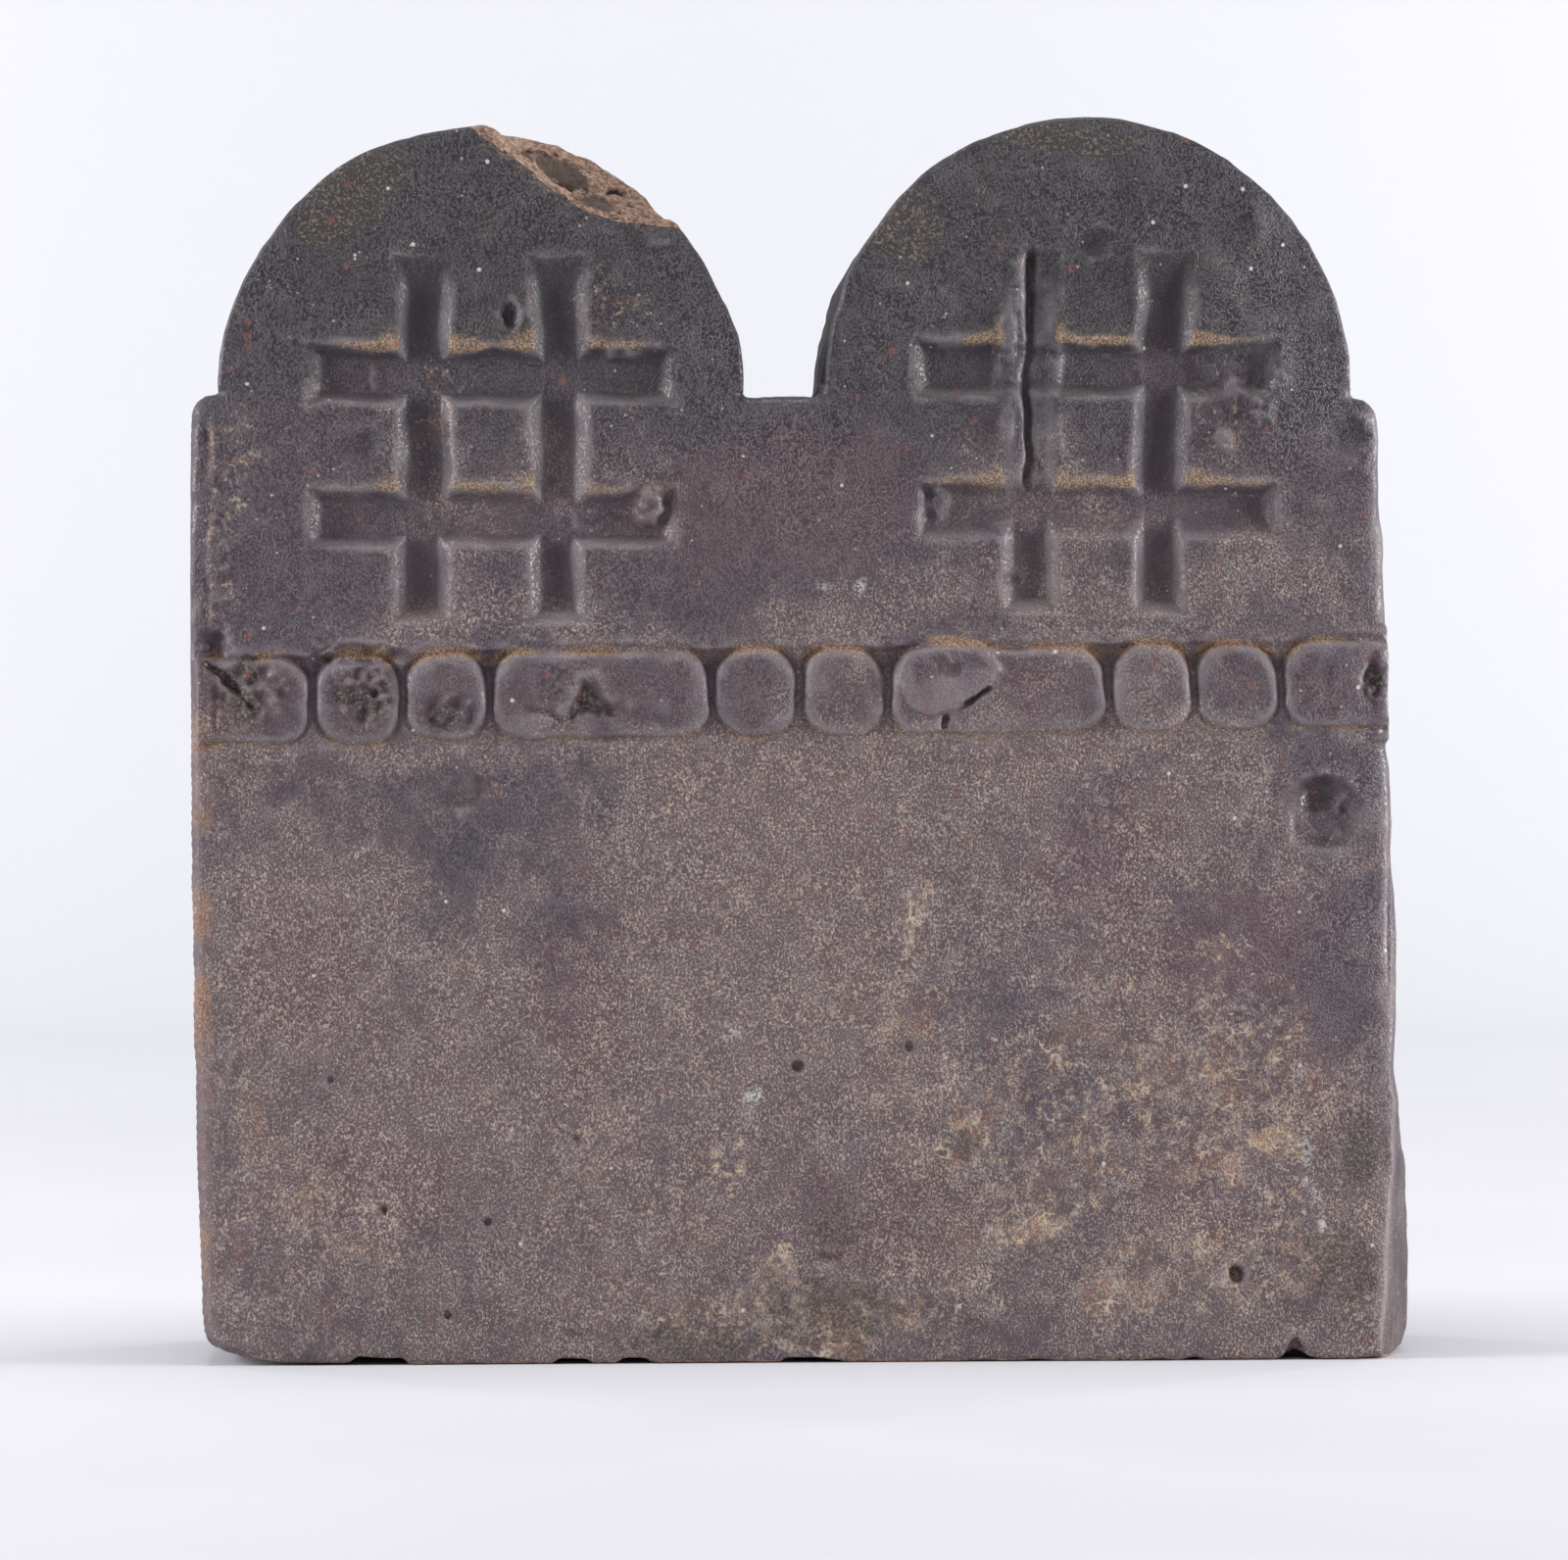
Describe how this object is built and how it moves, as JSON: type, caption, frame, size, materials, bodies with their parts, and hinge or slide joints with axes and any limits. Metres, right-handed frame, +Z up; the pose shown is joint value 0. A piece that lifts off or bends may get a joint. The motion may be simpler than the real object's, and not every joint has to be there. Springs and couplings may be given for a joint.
{
  "type": "pottery grave marker",
  "caption": "Upright slab of dark salt-glazed clay with a twin-lobed top, pressed crossing grooves on each lobe and a rolled band of beads and bars across its face.",
  "frame": {"origin": "middle of the piece's box, on the underside that it stands on", "axes": "+Z up; the face with the grooves and beads looks to -Y; +X to the right as seen from the front; the thickness runs along Y"},
  "size_m": [0.3144, 0.0668, 0.3186],
  "materials": {
    "salt_glaze": "dark purple-brown salt glaze with a fine orange-peel grain, satin to half glossy, with ochre dust in the hollows"
  },
  "bodies": {
    "root": {"grave_marker": "salt_glaze"}
  },
  "joints": []
}
